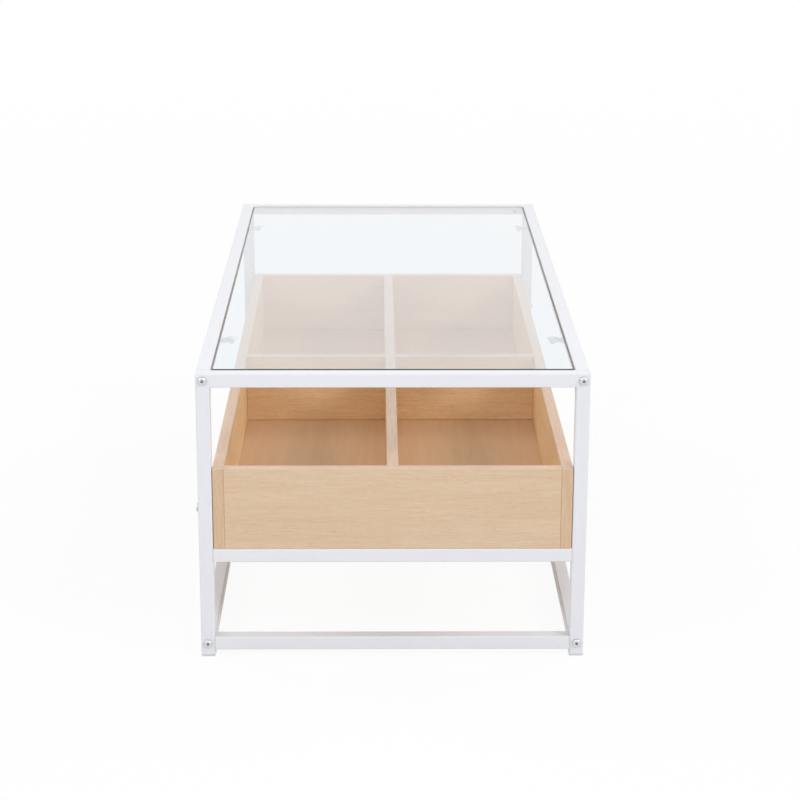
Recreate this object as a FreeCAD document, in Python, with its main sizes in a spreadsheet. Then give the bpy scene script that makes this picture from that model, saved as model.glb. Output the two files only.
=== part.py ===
import FreeCAD, Part

import os
import re

import Sketcher

# Coffee table. Two welded end frames of square steel tube are bolted to four long rails. A storage box with
# four compartments stands on the shelf rails. A loose glass sheet lies on suction cups inside the top rails.
# Lengths are in millimetres. X runs across the table, Y from front to rear and Z up from the floor.

SIZES = [
    ("table_width", 550, "outside of the end frames, left to right"),
    ("table_length", 1100, "outside of the end frames, front to rear"),
    ("foot_clearance", 10, "floor to the underside of the bottom rails"),
    ("bay_height", 115, "bottom rails to the shelf rails"),
    ("reach_gap", 120, "rim of the box to the underside of the top rails"),
    ("tube_size", 20, "outside of the square tube"),
    ("tube_wall", 1.2, "wall of the square tube"),
    ("tube_corner", 2, "outside corner radius of the square tube"),
    ("drain_diameter", 6, "drain hole in the inner wall of an end frame's top rail"),
    ("drain_inset", 15, "drain hole to the corner inside the frame"),
    ("drain_drop", 4, "drain hole below the middle of its rail"),
    ("glide_flange", 3, "part of a foot glide that shows below the leg"),
    ("glide_bolt_gap", 4, "top of a foot glide to the bolt above it"),
    ("glide_fit", 0.1, "gap on each side of a foot glide's plug"),
    ("glass_thickness", 5, "glass sheet"),
    ("glass_side_gap", 2, "glass to each long rail"),
    ("glass_end_gap", 4, "glass to each end frame"),
    ("glass_corner", 2, "corner radius of the glass seen from above"),
    ("glass_arris", 0.8, "ground edge of the glass"),
    ("tab_inset", 185, "outside of an end frame to the middle of a glass tab"),
    ("tab_reach", 24, "glass tab from the rail to its tip"),
    ("tab_base", 24, "glass tab along the rail"),
    ("tab_tip", 6, "radius of a glass tab's tip, with its hole in the middle"),
    ("tab_thickness", 2, "plate of a glass tab"),
    ("cup_diameter", 18, "suction cup where it meets the glass"),
    ("cup_height", 2.5, "glass tab to the glass"),
    ("cup_lip", 0.8, "thickness of a suction cup's rim"),
    ("cup_neck", 5, "diameter of a suction cup inside its tab"),
    ("cup_ledge", 1.5, "knob and seat of a suction cup beyond its neck"),
    ("cup_knob_height", 4, "length of a suction cup's knob under the tab"),
    ("cup_fit", 0.1, "gap round a suction cup's neck"),
    ("box_height", 120, "storage box"),
    ("box_side_gap", 0.8, "box to each leg"),
    ("box_setback", 1, "box behind the outside of each end frame"),
    ("board_thickness", 16, "boards of the box"),
    ("board_arris", 0.7, "rounding on the edges of the boards"),
    ("panel_thickness", 5, "bottom panel of the box"),
    ("panel_lift", 8, "underside of the box to its bottom panel"),
    ("panel_gap", 0.5, "edge of the bottom panel to the end of its groove"),
    ("groove_depth", 6, "groove for the bottom panel"),
    ("panel_shadow", 0.3, "open gap above the bottom panel in its groove and under the dividers"),
    ("lap_fit", 0.1, "gap on each side where the dividers cross"),
    ("dowel_diameter", 8, "wooden dowel"),
    ("dowel_length", 30, "wooden dowel"),
    ("dowel_skin", 5.5, "board left behind a dowel's hole in its face"),
    ("dowel_chamfer", 0.8, "ends of a dowel"),
    ("dowel_edge", 12, "rim of the box or groove of its panel to a dowel's middle"),
    ("dowel_fit", 0.05, "gap round a dowel"),
    ("dowel_end_gap", 0.5, "room beyond each end of a dowel"),
    ("bolt_diameter", 6, "shank of a bolt"),
    ("bolt_chamfer", 0.6, "end of a bolt"),
    ("head_ledge", 3, "button head of a bolt beyond its shank"),
    ("head_height", 3.3, "button head of a bolt"),
    ("head_land", 1.1, "straight part of a button head below its rounding"),
    ("socket_size", 4, "hexagon socket across its flats"),
    ("socket_depth", 2, "hexagon socket"),
    ("bolt_gap", 0.3, "gap round a bolt in a drilled hole"),
    ("thread_gap", 0.05, "gap round a bolt in its thread"),
    ("nut_length", 12, "threaded plug in the end of a long rail"),
    ("nut_fit", 0.05, "gap on each side of a threaded plug"),
    ("insert_wall", 2, "wall of a threaded insert in a side board"),
    ("insert_skin", 3, "board left behind a threaded insert"),
    ("insert_fit", 0.05, "gap round a threaded insert"),
]

# Measures that follow from the sizes, as formulas of their names

BORE = "(tube_size - 2 * tube_wall)"
BORE_CORNER = "max(tube_corner - tube_wall; tube_wall / 5)"
SHELF = "(foot_clearance + bay_height + 2 * tube_size)"
FRAME_TOP = f"({SHELF} + box_height + reach_gap + tube_size)"
LEG_X = "(table_width / 2 - tube_size / 2)"
LEG_Y = "(table_length / 2 - tube_size / 2)"
TOP_RAIL_Z = f"({FRAME_TOP} - tube_size / 2)"
SHELF_RAIL_Z = f"({SHELF} - tube_size / 2)"
BOTTOM_RAIL_Z = "(foot_clearance + tube_size / 2)"
BETWEEN_LEGS = "(table_width - 2 * tube_size)"
BETWEEN_FRAMES = "(table_length - 2 * tube_size)"
GLASS_WIDTH = f"({BETWEEN_LEGS} - 2 * glass_side_gap)"
GLASS_LENGTH = f"({BETWEEN_FRAMES} - 2 * glass_end_gap)"
GLASS_UNDERSIDE = f"({FRAME_TOP} - glass_thickness)"
TAB_UNDERSIDE = f"({GLASS_UNDERSIDE} - cup_height - tab_thickness)"
TAB_HOLE = "(tab_reach - tab_tip)"
CUP_KNOB = "(cup_neck + 2 * cup_ledge)"
BOX_WIDTH = f"({BETWEEN_LEGS} - 2 * box_side_gap)"
BOX_LENGTH = "(table_length - 2 * box_setback)"
INNER_WIDTH = f"({BOX_WIDTH} - 2 * board_thickness)"
INNER_LENGTH = f"({BOX_LENGTH} - 2 * board_thickness)"
SIDE_BOARD_X = f"({BOX_WIDTH} / 2 - board_thickness / 2)"
END_BOARD_Y = f"({BOX_LENGTH} / 2 - board_thickness / 2)"
BOX_FLOOR = "(panel_lift + panel_thickness)"
GROOVE_TOP = f"({BOX_FLOOR} + panel_shadow)"
LAP_HEIGHT = f"(({GROOVE_TOP} + box_height) / 2)"
LAP_HALF = "(board_thickness / 2 + lap_fit)"
DOWEL_HEIGHTS = (f"({GROOVE_TOP} + dowel_edge)", "(box_height - dowel_edge)")
DOWEL_HOLE = "(dowel_diameter + 2 * dowel_fit)"
FACE_DEPTH = "(board_thickness - dowel_skin)"
DOWEL_IN_FACE = f"({FACE_DEPTH} - dowel_end_gap)"
DOWEL_IN_END = f"(dowel_length - {DOWEL_IN_FACE})"
END_DEPTH = f"({DOWEL_IN_END} + dowel_end_gap)"
BOLT_HOLE = "(bolt_diameter + 2 * bolt_gap)"
THREAD_HOLE = "(bolt_diameter + 2 * thread_gap)"
HEAD_DIAMETER = "(bolt_diameter + 2 * head_ledge)"
BOX_BOLT_HEIGHT = "(box_height / 2)"
BOX_BOLT_Z = f"({SHELF} + {BOX_BOLT_HEIGHT})"
INSERT_DIAMETER = "(bolt_diameter + 2 * insert_wall)"
INSERT_LENGTH = "(board_thickness - insert_skin)"

SIDES = (("left", -1), ("right", 1))
ENDS = (("front", -1), ("rear", 1))
X_AXIS = FreeCAD.Vector(1, 0, 0)
Y_AXIS = FreeCAD.Vector(0, 1, 0)
Z_AXIS = FreeCAD.Vector(0, 0, 1)
NORMALS = {"XY_Plane": Z_AXIS, "XZ_Plane": Y_AXIS, "YZ_Plane": X_AXIS}
HALF_TURN = FreeCAD.Rotation(Z_AXIS, 180)
# A piece made along +Z is turned by these to point at one side of the table
POINTING = {
    "front": FreeCAD.Rotation(X_AXIS, 90),
    "rear": FreeCAD.Rotation(X_AXIS, -90),
    "left": FreeCAD.Rotation(Y_AXIS, -90),
    "right": FreeCAD.Rotation(Y_AXIS, 90),
}
OPPOSITE = {"front": "rear", "rear": "front", "left": "right", "right": "left"}
TOLERANCE = 0.001

doc = FreeCAD.newDocument("coffee_table")
sheet = doc.addObject("Spreadsheet::Sheet", "Sizes")
for row, (name, size, meaning) in enumerate(SIZES, start=1):
    sheet.set(f"A{row}", meaning)
    sheet.set(f"B{row}", str(size))
    sheet.setAlias(f"B{row}", name)
doc.recompute()
SIZE_NAMES = {name for name, size, meaning in SIZES}
nodes = []


# Formulas and places


def bound(formula):
    """The formula with each size's name pointing at its cell."""
    def cell(word):
        return f"Sizes.{word[0]}" if word[0] in SIZE_NAMES else word[0]
    return re.sub(r"[a-z_]+", cell, formula)


def number(formula):
    """What the formula comes to now."""
    return float(sheet.evalExpression(bound(formula)))


def place(piece, x="0", y="0", z="0", turn=None):
    """Ties a piece's place to the sizes."""
    if turn:
        piece.Placement.Rotation = turn
    for axis, formula in (("x", x), ("y", y), ("z", z)):
        piece.setExpression(f"Placement.Base.{axis}", bound(formula))


def node(piece, **where):
    """Adds a finished piece to the table."""
    place(piece, **where)
    nodes.append(piece)


# Sketches


def sketch_on(body, plane, offset="0"):
    """A sketch on one of the body's own planes, moved along the plane's normal."""
    sketch = body.newObject("Sketcher::SketchObject", "outline")
    support = next(feature for feature in body.Origin.OriginFeatures if feature.Role == plane)
    sketch.AttachmentSupport = (support, [""])
    sketch.MapMode = "FlatFace"
    sketch.setExpression("AttachmentOffset.Base.z", bound(offset))
    return sketch


def tie(sketch, kind, formula, *points):
    """A driving constraint that follows a formula."""
    index = sketch.addConstraint(Sketcher.Constraint(kind, *points, number(formula)))
    sketch.setExpression(f"Constraints[{index}]", bound(formula))


def pin(sketch, shape, point, x, y):
    """Holds one point of a line, arc or circle at x, y from the sketch's origin."""
    tie(sketch, "DistanceX", x, -1, 1, shape, point)
    tie(sketch, "DistanceY", y, -1, 1, shape, point)


def polygon(sketch, corners):
    """A closed outline of straight lines."""
    points = [FreeCAD.Vector(number(x), number(y), 0) for x, y in corners]
    ends = points[1:] + points[:1]
    lines = [sketch.addGeometry(Part.LineSegment(*pair)) for pair in zip(points, ends)]
    for line, following, corner in zip(lines, lines[1:] + lines[:1], corners):
        sketch.addConstraint(Sketcher.Constraint("Coincident", line, 2, following, 1))
        pin(sketch, line, 1, *corner)


def rectangle(sketch, left, right, low, high):
    polygon(sketch, [(left, low), (right, low), (right, high), (left, high)])


def middle_rectangle(sketch, width, height):
    rectangle(sketch, f"-{width} / 2", f"{width} / 2", f"-{height} / 2", f"{height} / 2")


def circle(sketch, x, y, diameter):
    centre = FreeCAD.Vector(number(x), number(y), 0)
    ring = sketch.addGeometry(Part.Circle(centre, Z_AXIS, number(diameter) / 2))
    pin(sketch, ring, 3, x, y)
    tie(sketch, "Diameter", diameter, ring)


# Solid features


def new_body(label):
    body = doc.addObject("PartDesign::Body", label)
    body.Label = label
    return body


def pad(body, sketch, length):
    feature = body.newObject("PartDesign::Pad", "pad")
    feature.Profile = sketch
    feature.setExpression("Length", bound(length))
    doc.recompute()


def revolve(body, sketch):
    """Turns a profile in the XZ plane round the body's Z axis."""
    feature = body.newObject("PartDesign::Revolution", "revolution")
    feature.Profile = sketch
    feature.ReferenceAxis = (sketch, ["V_Axis"])
    feature.Angle = 360
    doc.recompute()


def cut(body, sketch, depth=None, along_normal=False):
    """Cuts to a depth against or along the sketch's normal or, with no depth, right through both ways."""
    before = body.Shape.Volume
    feature = body.newObject("PartDesign::Pocket", "cut")
    feature.Profile = sketch
    if depth is None:
        feature.Type = "ThroughAll"
        feature.SideType = "Symmetric"
    else:
        feature.setExpression("Length", bound(depth))
        feature.Reversed = along_normal
    doc.recompute()
    if body.Shape.Volume > before - TOLERANCE:
        raise ValueError(f"a cut in {body.Label} takes nothing away")


def drill(body, plane, offset, spots, diameter, depth=None, along_normal=False):
    """Round holes of one diameter, all starting from one plane."""
    sketch = sketch_on(body, plane, offset)
    for x, y in spots:
        circle(sketch, x, y, diameter)
    cut(body, sketch, depth, along_normal)


def dress(body, kind, measure, formula, chosen):
    """A fillet or chamfer on the edges that chosen picks."""
    base = body.Tip
    edges = [f"Edge{index}" for index, edge in enumerate(base.Shape.Edges, start=1) if chosen(edge)]
    if not edges:
        raise ValueError(f"{body.Label} has no edge for its {kind}")
    feature = body.newObject(f"PartDesign::{kind}", kind.lower())
    feature.Base = (base, edges)
    feature.setExpression(measure, bound(formula))
    doc.recompute()


def round_corners(body, axis, size, radius):
    """Rounds the long edges at the corners of a square section about an axis through the origin."""
    reach = number(size) / 2 ** 0.5

    def at_corner(edge):
        along = abs(edge.tangentAt(edge.FirstParameter).dot(axis)) > 1 - TOLERANCE
        return along and abs(edge.CenterOfMass.cross(axis).Length - reach) < TOLERANCE

    dress(body, "Fillet", "Radius", radius, at_corner)


def ring_at(height):
    """Picks the circular edges at one height."""
    def chosen(edge):
        round_edge = edge.Curve.TypeId == "Part::GeomCircle"
        return round_edge and abs(edge.CenterOfMass.z - number(height)) < TOLERANCE
    return chosen


# Steel frame


def tube(label, plane, low, high):
    """Square tube along the normal of a plane, from low to high."""
    body = new_body(label)
    section = sketch_on(body, plane, low)
    middle_rectangle(section, "tube_size", "tube_size")
    middle_rectangle(section, BORE, BORE)
    pad(body, section, f"{high} - ({low})")
    round_corners(body, NORMALS[plane], "tube_size", "tube_corner")
    round_corners(body, NORMALS[plane], BORE, BORE_CORNER)
    return body


def leg(label, holds_box):
    """A leg, mitred at its top towards +X, with holes for the bolts that run along Y."""
    body = tube(label, "XY_Plane", "glide_flange", FRAME_TOP)
    mitre = sketch_on(body, "XZ_Plane")
    above = f"{FRAME_TOP} + tube_size / 2"
    polygon(mitre, [
        ("-tube_size", above),
        ("tube_size", above),
        ("tube_size", f"{FRAME_TOP} - 3 * tube_size / 2"),
    ])
    cut(body, mitre)
    drill(body, "XZ_Plane", "0", [("0", TOP_RAIL_Z), ("0", BOTTOM_RAIL_Z)], BOLT_HOLE)
    if holds_box:
        drill(body, "YZ_Plane", "0", [("0", BOX_BOLT_Z)], BOLT_HOLE)
    return body


def top_rail(label):
    """The top of an end frame, mitred to its legs, with a drain hole in the wall that faces -Y."""
    body = tube(label, "YZ_Plane", "-table_width / 2", "table_width / 2")
    mitres = sketch_on(body, "XZ_Plane")
    for side, sign in SIDES:
        outside = f"{sign} * (table_width / 2 + tube_size / 2)"
        inside = f"{sign} * (table_width / 2 - 3 * tube_size / 2)"
        polygon(mitres, [(outside, "tube_size"), (inside, "-tube_size"), (outside, "-tube_size")])
    cut(body, mitres)
    drill(body, "XZ_Plane", "0", [(f"{sign} * {LEG_X}", "0") for side, sign in SIDES], BOLT_HOLE)
    drain = (f"{BETWEEN_LEGS} / 2 - drain_inset", "-drain_drop")
    drill(body, "XZ_Plane", "tube_size / 2", [drain], "drain_diameter", "2 * tube_wall")
    return body


def cross_rail(label):
    return tube(label, "YZ_Plane", f"-{BETWEEN_LEGS} / 2", f"{BETWEEN_LEGS} / 2")


def long_rail(label):
    return tube(label, "XZ_Plane", f"-{BETWEEN_FRAMES} / 2", f"{BETWEEN_FRAMES} / 2")


def foot_glide(label):
    """Plastic foot: a flange as wide as the leg, with a plug that goes up inside it."""
    body = new_body(label)
    flange = sketch_on(body, "XY_Plane")
    middle_rectangle(flange, "tube_size", "tube_size")
    pad(body, flange, "glide_flange")
    round_corners(body, Z_AXIS, "tube_size", "tube_corner")
    plug_size = f"({BORE} - 2 * glide_fit)"
    plug = sketch_on(body, "XY_Plane", "glide_flange")
    middle_rectangle(plug, plug_size, plug_size)
    pad(body, plug, f"{BOTTOM_RAIL_Z} - {BOLT_HOLE} / 2 - glide_bolt_gap - glide_flange")
    round_corners(body, Z_AXIS, plug_size, BORE_CORNER)
    return body


# Glass and what carries it


def glass_sheet(label):
    """Clear sheet with rounded corners and a ground arris round both faces."""
    body = new_body(label)
    outline = sketch_on(body, "XY_Plane")
    middle_rectangle(outline, GLASS_WIDTH, GLASS_LENGTH)
    pad(body, outline, "glass_thickness")
    dress(body, "Fillet", "Radius", "glass_corner", lambda edge: edge.BoundBox.ZLength > TOLERANCE)
    dress(body, "Chamfer", "Size", "glass_arris", lambda edge: edge.BoundBox.ZLength < TOLERANCE)
    return body


def glass_tab(label):
    """Plate that tapers from the rail at x = 0 to a round tip, with a hole for a suction cup."""
    body = new_body(label)
    outline = sketch_on(body, "XY_Plane")
    half_base = number("tab_base / 2")
    tip_centre = FreeCAD.Vector(number(TAB_HOLE), 0, 0)
    tip_radius = number("tab_tip")
    low = FreeCAD.Vector(0, -half_base, 0)
    high = FreeCAD.Vector(0, half_base, 0)
    below = tip_centre - FreeCAD.Vector(0, tip_radius, 0)
    above = tip_centre + FreeCAD.Vector(0, tip_radius, 0)
    tip_end = tip_centre + FreeCAD.Vector(tip_radius, 0, 0)
    base = outline.addGeometry(Part.LineSegment(high, low))
    lower = outline.addGeometry(Part.LineSegment(low, below))
    tip = outline.addGeometry(Part.Arc(below, tip_end, above))
    upper = outline.addGeometry(Part.LineSegment(above, high))
    outline.addConstraint(Sketcher.Constraint("Coincident", base, 2, lower, 1))
    outline.addConstraint(Sketcher.Constraint("Tangent", lower, 2, tip, 1))
    outline.addConstraint(Sketcher.Constraint("Tangent", tip, 2, upper, 1))
    outline.addConstraint(Sketcher.Constraint("Coincident", upper, 2, base, 1))
    pin(outline, base, 1, "0", "tab_base / 2")
    pin(outline, base, 2, "0", "-tab_base / 2")
    pin(outline, tip, 3, TAB_HOLE, "0")
    tie(outline, "Radius", "tab_tip", tip)
    circle(outline, TAB_HOLE, "0", "cup_neck + 2 * cup_fit")
    pad(body, outline, "tab_thickness")
    return body


def suction_cup(label):
    """Clear cup on a tab: a disc under the glass, a neck through the tab and a knob below it."""
    body = new_body(label)
    profile = sketch_on(body, "XZ_Plane")
    polygon(profile, [
        ("0", "tab_thickness + cup_height"),
        ("cup_diameter / 2", "tab_thickness + cup_height"),
        ("cup_diameter / 2", "tab_thickness + cup_height - cup_lip"),
        (f"{CUP_KNOB} / 2", "tab_thickness"),
        ("cup_neck / 2", "tab_thickness"),
        ("cup_neck / 2", "0"),
        (f"{CUP_KNOB} / 2", "0"),
        (f"{CUP_KNOB} / 2", "-cup_knob_height"),
        ("0", "-cup_knob_height"),
    ])
    revolve(body, profile)
    return body


# Storage box


def sheet_stock(label, width, length, low, high):
    """A flat blank, centred on the Z axis, from low to high above the underside of the box."""
    body = new_body(label)
    outline = sketch_on(body, "XY_Plane", low)
    middle_rectangle(outline, width, length)
    pad(body, outline, f"{high} - {low}")
    return body


def board(label, width, length, low):
    """A board with all its edges eased, from low to the rim of the box."""
    body = sheet_stock(label, width, length, low, "box_height")
    dress(body, "Fillet", "Radius", "board_arris", lambda edge: True)
    return body


def at_dowels(across):
    """The two dowels of a joint, above each other."""
    return [(across, height) for height in DOWEL_HEIGHTS]


def side_board(label):
    """Long side of the box, with its inner face towards +X."""
    body = board(label, "board_thickness", BOX_LENGTH, "0")
    inner_face = "board_thickness / 2"
    joints = [f"-{END_BOARD_Y}", "0", END_BOARD_Y]
    spots = [spot for across in joints for spot in at_dowels(across)]
    drill(body, "YZ_Plane", inner_face, spots, DOWEL_HOLE, FACE_DEPTH)
    groove = sketch_on(body, "YZ_Plane", inner_face)
    groove_end = f"({INNER_LENGTH} / 2 + groove_depth)"
    rectangle(groove, f"-{groove_end}", groove_end, "panel_lift", GROOVE_TOP)
    cut(body, groove, "groove_depth")
    insert_hole = f"{INSERT_DIAMETER} + 2 * insert_fit"
    insert_depth = f"{INSERT_LENGTH} + insert_fit"
    spot = (f"-{LEG_Y}", BOX_BOLT_HEIGHT)
    drill(body, "YZ_Plane", "-board_thickness / 2", [spot], insert_hole, insert_depth, True)
    return body


def end_board(label):
    """Short side of the box, with its inner face towards +Y."""
    body = board(label, INNER_WIDTH, "board_thickness", "0")
    drill(body, "YZ_Plane", f"{INNER_WIDTH} / 2", at_dowels("0"), DOWEL_HOLE, END_DEPTH)
    drill(body, "YZ_Plane", f"-{INNER_WIDTH} / 2", at_dowels("0"), DOWEL_HOLE, END_DEPTH, True)
    inner_face = "-board_thickness / 2"
    drill(body, "XZ_Plane", inner_face, at_dowels("0"), DOWEL_HOLE, FACE_DEPTH, True)
    groove = sketch_on(body, "XZ_Plane", inner_face)
    rectangle(groove, f"-{INNER_WIDTH}", INNER_WIDTH, "panel_lift", GROOVE_TOP)
    cut(body, groove, "groove_depth", True)
    return body


def long_divider(label):
    """Divider along the box, slotted from below over the cross divider."""
    body = board(label, "board_thickness", INNER_LENGTH, GROOVE_TOP)
    slot = sketch_on(body, "YZ_Plane")
    rectangle(slot, f"-{LAP_HALF}", LAP_HALF, "0", LAP_HEIGHT)
    cut(body, slot)
    drill(body, "XZ_Plane", f"{INNER_LENGTH} / 2", at_dowels("0"), DOWEL_HOLE, END_DEPTH)
    drill(body, "XZ_Plane", f"-{INNER_LENGTH} / 2", at_dowels("0"), DOWEL_HOLE, END_DEPTH, True)
    return body


def cross_divider(label):
    """Divider across the box, slotted from above under the long divider."""
    body = board(label, INNER_WIDTH, "board_thickness", GROOVE_TOP)
    slot = sketch_on(body, "XZ_Plane")
    rectangle(slot, f"-{LAP_HALF}", LAP_HALF, LAP_HEIGHT, "box_height + board_thickness")
    cut(body, slot)
    drill(body, "YZ_Plane", f"{INNER_WIDTH} / 2", at_dowels("0"), DOWEL_HOLE, END_DEPTH)
    drill(body, "YZ_Plane", f"-{INNER_WIDTH} / 2", at_dowels("0"), DOWEL_HOLE, END_DEPTH, True)
    return body


def bottom_panel(label):
    """Thin panel held in the grooves of the four outer boards."""
    reach = "2 * (groove_depth - panel_gap)"
    width = f"({INNER_WIDTH} + {reach})"
    length = f"({INNER_LENGTH} + {reach})"
    return sheet_stock(label, width, length, "panel_lift", BOX_FLOOR)


# Fasteners


def button_bolt(label, length):
    """Bolt along Z with the underside of its button head at z = 0 and a hexagon socket."""
    body = new_body(label)
    profile = sketch_on(body, "XZ_Plane")
    polygon(profile, [
        ("0", "head_height"),
        (f"{HEAD_DIAMETER} / 2", "head_height"),
        (f"{HEAD_DIAMETER} / 2", "0"),
        ("bolt_diameter / 2", "0"),
        ("bolt_diameter / 2", f"-{length}"),
        ("0", f"-{length}"),
    ])
    revolve(body, profile)
    dress(body, "Fillet", "Radius", "head_height - head_land", ring_at("head_height"))
    dress(body, "Chamfer", "Size", "bolt_chamfer", ring_at(f"-{length}"))
    socket = sketch_on(body, "XY_Plane", "head_height")
    flat = "socket_size / 2"
    corner = "socket_size / (2 * sqrt(3))"
    point = "socket_size / sqrt(3)"
    polygon(socket, [
        (flat, f"-{corner}"),
        (flat, corner),
        ("0", point),
        (f"-{flat}", corner),
        (f"-{flat}", f"-{corner}"),
        ("0", f"-{point}"),
    ])
    cut(body, socket, "socket_depth")
    return body


def rail_nut(label):
    """Threaded plug that fills the end of a long rail, along +Z from that end."""
    body = new_body(label)
    size = f"({BORE} - 2 * nut_fit)"
    section = sketch_on(body, "XY_Plane")
    middle_rectangle(section, size, size)
    circle(section, "0", "0", THREAD_HOLE)
    pad(body, section, "nut_length")
    round_corners(body, Z_AXIS, size, BORE_CORNER)
    return body


def box_insert(label):
    """Threaded insert along +Z from the outer face of a side board."""
    body = new_body(label)
    section = sketch_on(body, "XY_Plane")
    circle(section, "0", "0", INSERT_DIAMETER)
    circle(section, "0", "0", THREAD_HOLE)
    pad(body, section, INSERT_LENGTH)
    return body


def dowel(label):
    """Dowel along Z with the joint at z = 0: its short end is in a face, its long end in end grain."""
    body = new_body(label)
    section = sketch_on(body, "XY_Plane", f"-{DOWEL_IN_FACE}")
    circle(section, "0", "0", "dowel_diameter")
    pad(body, section, "dowel_length")
    for end in (f"-{DOWEL_IN_FACE}", DOWEL_IN_END):
        dress(body, "Chamfer", "Size", "dowel_chamfer", ring_at(end))
    return body


def group(label, piece, places):
    """One node of equal pieces, each a link to the same solid with its own place."""
    links = []
    for x, y, z, pointing in places:
        link = doc.addObject("App::Link", f"{label}_place")
        link.LinkedObject = piece
        place(link, x, y, z, POINTING[pointing])
        links.append(link)
    compound = doc.addObject("Part::Compound", label)
    compound.Label = label
    compound.Links = links
    doc.recompute()
    nodes.append(compound)


# The end frames are equal weldments, and the rear one is turned round: the box is bolted at opposite corners

for end, end_sign in ENDS:
    frame_y = f"{end_sign} * {LEG_Y}"
    for side, side_sign in SIDES:
        turn = HALF_TURN if side == "right" else None
        holds_box = side_sign == end_sign
        node(leg(f"{end}_{side}_leg", holds_box), x=f"{side_sign} * {LEG_X}", y=frame_y, turn=turn)
        node(foot_glide(f"{end}_{side}_glide"), x=f"{side_sign} * {LEG_X}", y=frame_y)
    turn = HALF_TURN if end == "front" else None
    node(top_rail(f"{end}_top_rail"), y=frame_y, z=TOP_RAIL_Z, turn=turn)
    node(cross_rail(f"{end}_shelf_rail"), y=frame_y, z=SHELF_RAIL_Z)
    node(cross_rail(f"{end}_bottom_rail"), y=frame_y, z=BOTTOM_RAIL_Z)

for side, side_sign in SIDES:
    node(long_rail(f"{side}_top_rail"), x=f"{side_sign} * {LEG_X}", z=TOP_RAIL_Z)
    node(long_rail(f"{side}_bottom_rail"), x=f"{side_sign} * {LEG_X}", z=BOTTOM_RAIL_Z)

# Glass top on its tabs and cups

node(glass_sheet("glass_top"), z=GLASS_UNDERSIDE)
for end, end_sign in ENDS:
    tab_y = f"{end_sign} * (table_length / 2 - tab_inset)"
    for side, side_sign in SIDES:
        turn = HALF_TURN if side == "right" else None
        rail_face = f"{side_sign} * {BETWEEN_LEGS} / 2"
        cup_x = f"{side_sign} * ({BETWEEN_LEGS} / 2 - {TAB_HOLE})"
        node(glass_tab(f"{end}_{side}_glass_tab"), x=rail_face, y=tab_y, z=TAB_UNDERSIDE, turn=turn)
        node(suction_cup(f"{end}_{side}_suction_cup"), x=cup_x, y=tab_y, z=TAB_UNDERSIDE)

# Storage box on the shelf rails

for side, side_sign in SIDES:
    turn = HALF_TURN if side == "right" else None
    node(side_board(f"box_{side}_side"), x=f"{side_sign} * {SIDE_BOARD_X}", z=SHELF, turn=turn)
for end, end_sign in ENDS:
    turn = HALF_TURN if end == "rear" else None
    node(end_board(f"box_{end}_end"), y=f"{end_sign} * {END_BOARD_Y}", z=SHELF, turn=turn)
node(bottom_panel("box_bottom_panel"), z=SHELF)
node(long_divider("box_long_divider"), z=SHELF)
node(cross_divider("box_cross_divider"), z=SHELF)

# Fasteners of the frame, then of the box

frame_bolt = button_bolt("frame_bolt", "(tube_size + nut_length)")
rail_heights = (TOP_RAIL_Z, BOTTOM_RAIL_Z)
nut_places = []
for end, end_sign in ENDS:
    head_y = f"{end_sign} * table_length / 2"
    nut_y = f"{end_sign} * {BETWEEN_FRAMES} / 2"
    corners = [(f"{sign} * {LEG_X}", height) for side, sign in SIDES for height in rail_heights]
    group(f"{end}_frame_bolts", frame_bolt, [(x, head_y, z, end) for x, z in corners])
    nut_places += [(x, nut_y, z, OPPOSITE[end]) for x, z in corners]
group("long_rail_nuts", rail_nut("rail_nut"), nut_places)

box_bolt = button_bolt("box_bolt", f"(tube_size + box_side_gap + {INSERT_LENGTH})")
bolt_places = [(f"{sign} * table_width / 2", f"{sign} * {LEG_Y}", BOX_BOLT_Z, side) for side, sign in SIDES]
insert_places = [(f"{sign} * {BOX_WIDTH} / 2", y, z, OPPOSITE[side])
                 for (side, sign), (x, y, z, pointing) in zip(SIDES, bolt_places)]
group("box_bolts", box_bolt, bolt_places)
group("box_inserts", box_insert("box_insert"), insert_places)

wood_dowel = dowel("dowel")
corner_places = []
divider_places = []
for height in DOWEL_HEIGHTS:
    z = f"{SHELF} + {height}"
    for side, side_sign in SIDES:
        joint_x = f"{side_sign} * {INNER_WIDTH} / 2"
        for end, end_sign in ENDS:
            corner_places.append((joint_x, f"{end_sign} * {END_BOARD_Y}", z, OPPOSITE[side]))
        divider_places.append((joint_x, "0", z, OPPOSITE[side]))
    for end, end_sign in ENDS:
        divider_places.append(("0", f"{end_sign} * {INNER_LENGTH} / 2", z, OPPOSITE[end]))
group("box_corner_dowels", wood_dowel, corner_places)
group("box_divider_dowels", wood_dowel, divider_places)

# Everything is tested before anything is written

doc.recompute()
for item in doc.Objects:
    if "Invalid" in item.State or "Error" in item.State:
        raise ValueError(f"{item.Label} failed: {item.State}")
for piece in nodes:
    if piece.Shape.isNull() or not piece.Shape.isValid() or not piece.Shape.Solids:
        raise ValueError(f"{piece.Label} has no valid solid")

os.makedirs("parts", exist_ok=True)
for piece in nodes:
    piece.Shape.exportStep(f"parts/{piece.Label}.step")
    print(f"{piece.Label}: {len(piece.Shape.Solids)} solid(s), {piece.Shape.Volume / 1000:.2f} cm3")
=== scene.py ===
"""Finishes a coffee table: a white tube frame, a maple-look storage box and a loose glass top."""
import math

import bmesh
import bpy
from mathutils import Matrix, Vector


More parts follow.
